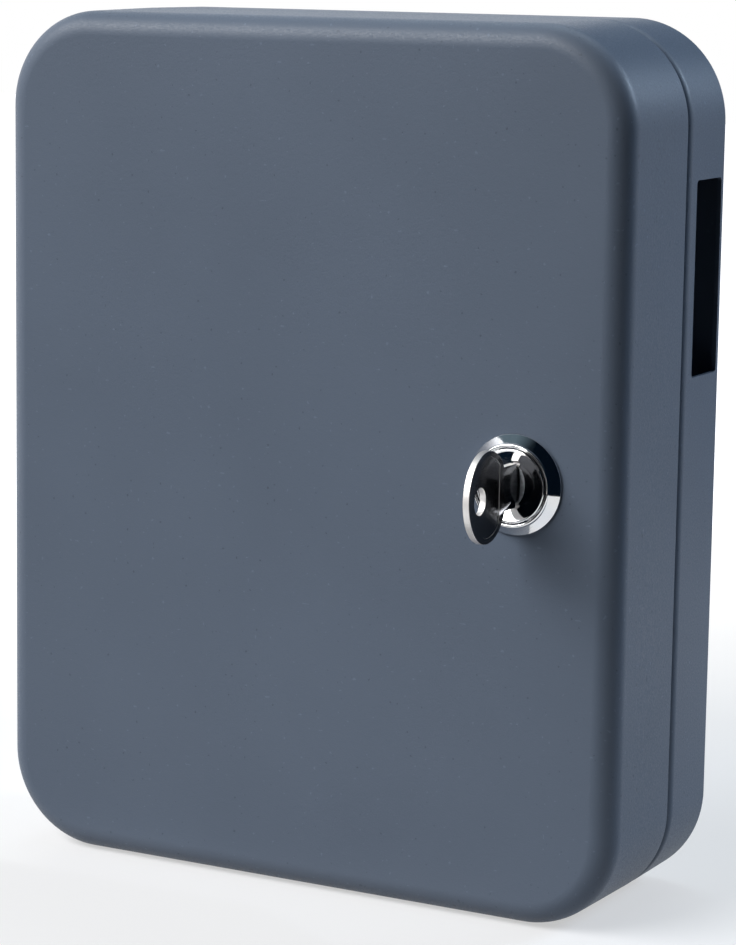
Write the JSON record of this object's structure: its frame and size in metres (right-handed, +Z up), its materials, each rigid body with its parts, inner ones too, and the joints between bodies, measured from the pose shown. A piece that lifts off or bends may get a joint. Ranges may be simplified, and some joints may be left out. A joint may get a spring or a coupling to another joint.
{
  "type": "key cabinet",
  "caption": "Wall-mounted steel key cabinet with rounded corners, a hinged door with a cam lock and key, hook rails inside and a key drop slot in its right wall.",
  "frame": {"origin": "middle of the case's flat back face, which lies against the wall", "axes": "+Z up, +Y into the wall, +X towards the viewer's right, where the lock is; the door faces -Y"},
  "size_m": [0.1625, 0.0773, 0.2],
  "materials": {
    "powder_coat": "blue-grey satin powder coat with a fine orange peel",
    "zinc_plate": "bright zinc plate",
    "lock_chrome": "polished chrome plate",
    "key_nickel": "nickel plate, lightly scratched"
  },
  "bodies": {
    "case": {"case_shell": "powder_coat", "hinge_case_leaf": "zinc_plate", "hinge_pin": "zinc_plate", "hook_rail_1": "zinc_plate", "hook_rail_2": "zinc_plate", "hook_rail_3": "zinc_plate", "hook_rail_4": "zinc_plate", "rail_1_rivet_left": "zinc_plate", "rail_1_rivet_right": "zinc_plate", "rail_2_rivet_left": "zinc_plate", "rail_2_rivet_right": "zinc_plate", "rail_3_rivet_left": "zinc_plate", "rail_3_rivet_right": "zinc_plate", "rail_4_rivet_left": "zinc_plate", "rail_4_rivet_right": "zinc_plate"},
    "door": {"door_shell": "powder_coat", "hinge_door_leaf": "zinc_plate", "lock_housing": "lock_chrome", "lock_washer": "zinc_plate", "lock_nut": "zinc_plate"},
    "lock_core": {"lock_plug": "lock_chrome", "lock_cam": "zinc_plate", "cam_washer": "zinc_plate", "cam_screw": "zinc_plate"},
    "key": {"key": "key_nickel"}
  },
  "joints": [
    {"name": "door_hinge", "type": "hinge", "parent": "case", "child": "door", "pos_m": [-0.0802, -0.02255, 0], "axis": [0, 0, -1], "range_deg": [0, 135]},
    {"name": "lock_turn", "type": "hinge", "parent": "door", "child": "lock_core", "pos_m": [0.0548, -0.0532, 0], "axis": [0, 1, 0], "range_deg": [0, 90]},
    {"name": "key_pull", "type": "slide", "parent": "lock_core", "child": "key", "axis": [0, -1, 0], "range_m": [0, 0.019]}
  ]
}
